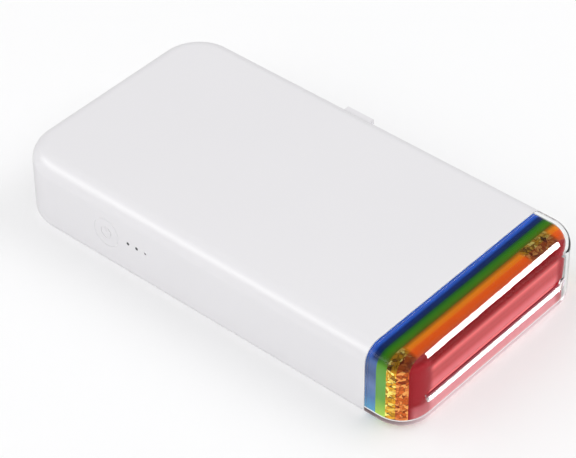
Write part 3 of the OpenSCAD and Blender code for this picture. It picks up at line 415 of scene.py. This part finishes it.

# The red slab that faces forward, of the same tinted plastic, with the slot through
# it. Its colours are painted light: pale and pink below and above the slot, as if lit
# through from the table below, and deep red along its top edge and at its two ends,
# with fine streaks along it. It glows with its own colour, and a paler painted glow
# lights its underside.
pale, rose = (0.60, 0.27, 0.27), (0.60, 0.22, 0.24)
pink, brick = (0.60, 0.125, 0.14), (0.44, 0.056, 0.060)
slot_red, edge_red, end_red = (0.16, 0.008, 0.010), (0.24, 0.006, 0.010), (0.27, 0.010, 0.016)
painted_underside_glow = (0.80, 0.52, 0.54)
paint, shader, place = finish_of("red_tint", Roughness=0.5, Specular_IOR_Level=0.0)
x, y, z = place.axes()
# Painted light up the front: pale and pink low down, deep red towards the top edge.
front = ramp(z, 0.0015, 0.0235, (
    (0.0, pale), (0.10, rose), (0.24, rose), (0.29, slot_red), (0.340, slot_red),
    (0.350, (0.60, 0.16, 0.17)), (0.50, pink), (0.58, brick), (0.70, brick),
    (0.745, (0.54, 0.085, 0.085)), (0.775, (0.68, 0.13, 0.13)), (0.82, (0.30, 0.006, 0.010)),
    (0.86, (0.17, 0.001, 0.003))))
end_share = z.below(0.0215, 0.001) * (z.above(0.007, 0.003) * 0.5 + 0.5)
front = (y.maths("ABSOLUTE").above(0.0286, 0.0012) * end_share).mix(front, end_red)
colour = x.above(0.0722, 0.0006).mix(edge_red, front)
streaks = place.vector("MULTIPLY", (20, 12, 900)).noise(1.0, 2.0)
colour = colour.vector("SCALE", Scale=streaks * 0.3 + 0.8)
feed(shader, "Base Color", colour)
# A painted glow: the slab emits its colour, dimmed, and a paler glow along its underside.
painted_body_glow = colour.vector("SCALE", Scale=0.75)
feed(shader, "Emission Color", z.below(0.0024, 0.0002).mix(painted_body_glow, painted_underside_glow))
shader.inputs["Emission Strength"].default_value = 1.0
dress(paint, "red_band")


# The small turned pieces: screws, the door's hinge pins and the posts that carry the
# gears. They are of bright plated steel with fine scratches.
def surface(name, nodes, dark, light, scale, rough, metal=0.0, grain=0.0, stretch=(1, 1, 1), **plain):
    """A finish that drifts between two colours, with a fine grain in its gloss and height."""
    grain_finer, grain_depth = 6, 0.0002
    paint, shader, place = finish_of(name, Metallic=metal, **plain)
    drawn = place.vector("MULTIPLY", stretch)
    mottle = drawn.noise(scale)
    feed(shader, "Base Color", mottle.between(0.25, 0.75).mix(dark, light))
    feed(shader, "Roughness", mottle * (rough[1] - rough[0]) + rough[0])
    if grain:
        emboss(shader, drawn.noise(scale * grain_finer, 2.0), grain, grain_depth)
    dress(paint, *nodes)


surface("bright_steel",
        ("hinge_pins", "cap_screws", "case_screws", "plate_screws", "gear_posts", "board_screws"),
        dark=(0.55, 0.55, 0.56), light=(0.72, 0.72, 0.73), scale=300, rough=(0.22, 0.4), metal=1.0,
        grain=0.1)

# The shafts of the drive, platen and pick-up rollers: steel rods, ground round and
# polished, that turn in the side plates. Their marks run round them.
surface("ground_shaft", ("drive_roller", "platen_roller", "pickup_roller"),
        dark=(0.58, 0.58, 0.60), light=(0.74, 0.74, 0.76), scale=200, rough=(0.16, 0.32), metal=1.0,
        grain=0.08, stretch=(1, 0.1, 1))

# The two side plates and the bracket of the print head: pressed from zinc-coated
# sheet steel. The plates are screwed to the chassis and carry the shafts.
surface("zinc_sheet", ("left_side_plate", "right_side_plate", "head_bracket"),
        dark=(0.50, 0.51, 0.53), light=(0.66, 0.67, 0.69), scale=90, rough=(0.3, 0.5), metal=1.0,
        grain=0.06)

# The motor's can and the shell of the charging socket: drawn from thin steel sheet,
# which leaves faint lines along them.
surface("drawn_can", ("motor", "usb_socket"),
        dark=(0.55, 0.56, 0.57), light=(0.68, 0.69, 0.70), scale=260, rough=(0.22, 0.38), metal=1.0,
        grain=0.08, stretch=(1, 0.15, 1))

# The print head: a bar of cast aluminium across the paper, which takes the heat off
# the printing line. It hangs under the bracket.
surface("cast_sink", ("print_head",),
        dark=(0.40, 0.41, 0.43), light=(0.52, 0.53, 0.55), scale=220, rough=(0.35, 0.55), metal=1.0,
        grain=0.15, stretch=(1, 0.1, 1))

# The two springs that press the print head down: coils of steel wire, which stand in
# for the CAD's plain sleeves.
wire, turns, coil_steps, ring_sides, clearance = 0.00022, 3, 28, 8, 0.00002
low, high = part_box("head_springs")
reach = (high.x - low.x) / 2 - wire
climb = high.z - low.z - 2 * wire - 2 * clearance
shape = bmesh.new()
for side_y in (low.y + reach + wire, high.y - reach - wire):
    stand = Vector(((low.x + high.x) / 2, side_y, low.z + clearance + wire))
    upright = Matrix.Translation(stand + Vector((reach, 0, 0))) @ Matrix.Rotation(math.pi / 2, 4, "X")
    ring = bmesh.ops.create_circle(shape, cap_ends=True, segments=ring_sides, radius=wire,
                                   matrix=upright)
    disc = ring["verts"][0].link_faces[0]
    bmesh.ops.spin(shape, geom=[disc], cent=stand, axis=(0, 0, 1), angle=turns * math.tau,
                   steps=turns * coil_steps, dvec=(0, 0, climb / (turns * coil_steps)),
                   use_merge=False, use_duplicate=False)
bmesh.ops.recalc_face_normals(shape, faces=shape.faces)
springs_mesh = bpy.data.meshes.new("head_coils")
shape.to_mesh(springs_mesh)
shape.free()
springs = bpy.data.objects.new("head_coils", springs_mesh)
scene.collection.objects.link(springs)
springs_mesh.materials.append(bpy.data.materials["bright_steel"])
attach(springs, "frame")
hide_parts("head_springs")
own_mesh(springs)

# The gears: the motor's pinion, two double gears, the idler and the one that turns
# the ribbon's take-up spool. They are moulded in cream acetal.
surface("cream_acetal",
        ("motor_pinion", "reduction_gear_1", "reduction_gear_2", "idler_gear", "takeup_drive"),
        dark=(0.78, 0.74, 0.62), light=(0.86, 0.82, 0.71), scale=120, rough=(0.35, 0.5), grain=0.05)

# The black mouldings: the chassis that everything is screwed to, the guide behind the
# print slot, and the cartridge that slides in from the door's side.
surface("black_moulding", ("chassis", "exit_guide", "cartridge"),
        dark=(0.018, 0.018, 0.020), light=(0.035, 0.035, 0.038), scale=400, rough=(0.4, 0.6),
        grain=0.15)

# The two ribbon spools: grey moulded cores that turn in the cartridge's housings.
# The dye ribbon is wound on them tightly, with its edges as fine lines.
surface("spool_grey", ("supply_spool", "takeup_spool"),
        dark=(0.60, 0.60, 0.62), light=(0.70, 0.70, 0.72), scale=120, rough=(0.35, 0.5), grain=0.05)
surface("wound_ribbon", ("supply_ribbon_roll", "takeup_ribbon_roll"),
        dark=(0.03, 0.035, 0.08), light=(0.06, 0.07, 0.14), scale=300, rough=(0.2, 0.35), grain=0.1,
        stretch=(1, 6, 1))

# The dye ribbon: a thin glossy film that runs under the print head from spool to
# spool. Its dyes are in panels, and a yellow and a magenta one lie between the spools.
yellow_dye, magenta_dye, deep_magenta = (0.75, 0.55, 0.02), (0.55, 0.02, 0.22), (0.45, 0.02, 0.20)
paint, shader, place = finish_of("dye_ribbon", Roughness=0.2, Coat_Weight=0.4)
feed(shader, "Base Color", ramp(place.axes()[0], 0.0246, 0.044, (
    (0.0, yellow_dye), (0.45, yellow_dye), (0.5, magenta_dye), (1.0, deep_magenta))))
feed(shader, "Roughness", place.noise(200.0) * 0.15 + 0.12)
dress(paint, "ribbon")

# The sheets of print paper in the cartridge: glossy and white, with the edges of the
# sheets as fine lines round the stack.
surface("print_paper", ("paper_stack",),
        dark=(0.80, 0.80, 0.78), light=(0.93, 0.93, 0.91), scale=60, rough=(0.4, 0.6), grain=0.1,
        stretch=(0.05, 0.05, 90))

# The rubber pieces: the four feet, set into the base, and the sleeves on the
# rollers' shafts. The rubber is black, dull and finely ground.
surface("soft_rubber",
        ("rubber_feet", "drive_roller_rubber", "platen_rubber", "pickup_rubber", "pinch_roller"),
        dark=(0.030, 0.030, 0.032), light=(0.055, 0.055, 0.058), scale=500, rough=(0.7, 0.9),
        grain=0.2)

# The two signal lights beside the button: smoked lenses in the casing's wall, over
# white chips on the board.
surface("smoked_lens", ("light_pipes",),
        dark=(0.05, 0.05, 0.055), light=(0.08, 0.08, 0.085), scale=300, rough=(0.08, 0.16),
        Coat_Weight=0.5)
surface("white_chip", ("light_chips",),
        dark=(0.78, 0.78, 0.74), light=(0.88, 0.88, 0.84), scale=400, rough=(0.3, 0.45))

# The label plate under the casing: thin satin film with nothing printed on it, stuck
# to the base.
surface("blank_label", ("label_plate",),
        dark=(0.55, 0.55, 0.57), light=(0.62, 0.62, 0.64), scale=60, rough=(0.3, 0.4), grain=0.04)

# The circuit board: glass fibre under green lacquer, with lighter copper tracks, held
# by four screws. Its chips and switches are moulded in black resin.
paint, shader, place = finish_of("green_board", Roughness=0.35, Coat_Weight=0.3)
tracks = place.node("ShaderNodeTexBrick", {"offset": 0.5}, Vector=place, Scale=140.0,
                    Color1=(0.012, 0.10, 0.035, 1), Color2=(0.014, 0.13, 0.045, 1),
                    Mortar=(0.03, 0.21, 0.08, 1))
feed(shader, "Base Color", tracks)
feed(shader, "Roughness", place.noise(200.0) * 0.2 + 0.25)
dress(paint, "main_board")
surface("chip_resin", ("board_chips", "power_switch", "reset_switch"),
        dark=(0.015, 0.015, 0.017), light=(0.035, 0.035, 0.038), scale=300, rough=(0.5, 0.7),
        grain=0.1)

# The battery: a soft pouch of dull silver foil on a dark foam pad, with a red lead
# to the board.
surface("pouch_foil", ("battery",),
        dark=(0.42, 0.43, 0.45), light=(0.55, 0.56, 0.58), scale=70, rough=(0.35, 0.5), metal=0.8,
        grain=0.15)
surface("foam_pad", ("battery_pad",),
        dark=(0.07, 0.07, 0.075), light=(0.12, 0.12, 0.125), scale=700, rough=(0.85, 0.98), grain=0.6)
surface("red_lead", ("battery_lead",),
        dark=(0.42, 0.012, 0.012), light=(0.55, 0.02, 0.02), scale=250, rough=(0.35, 0.5), grain=0.05)
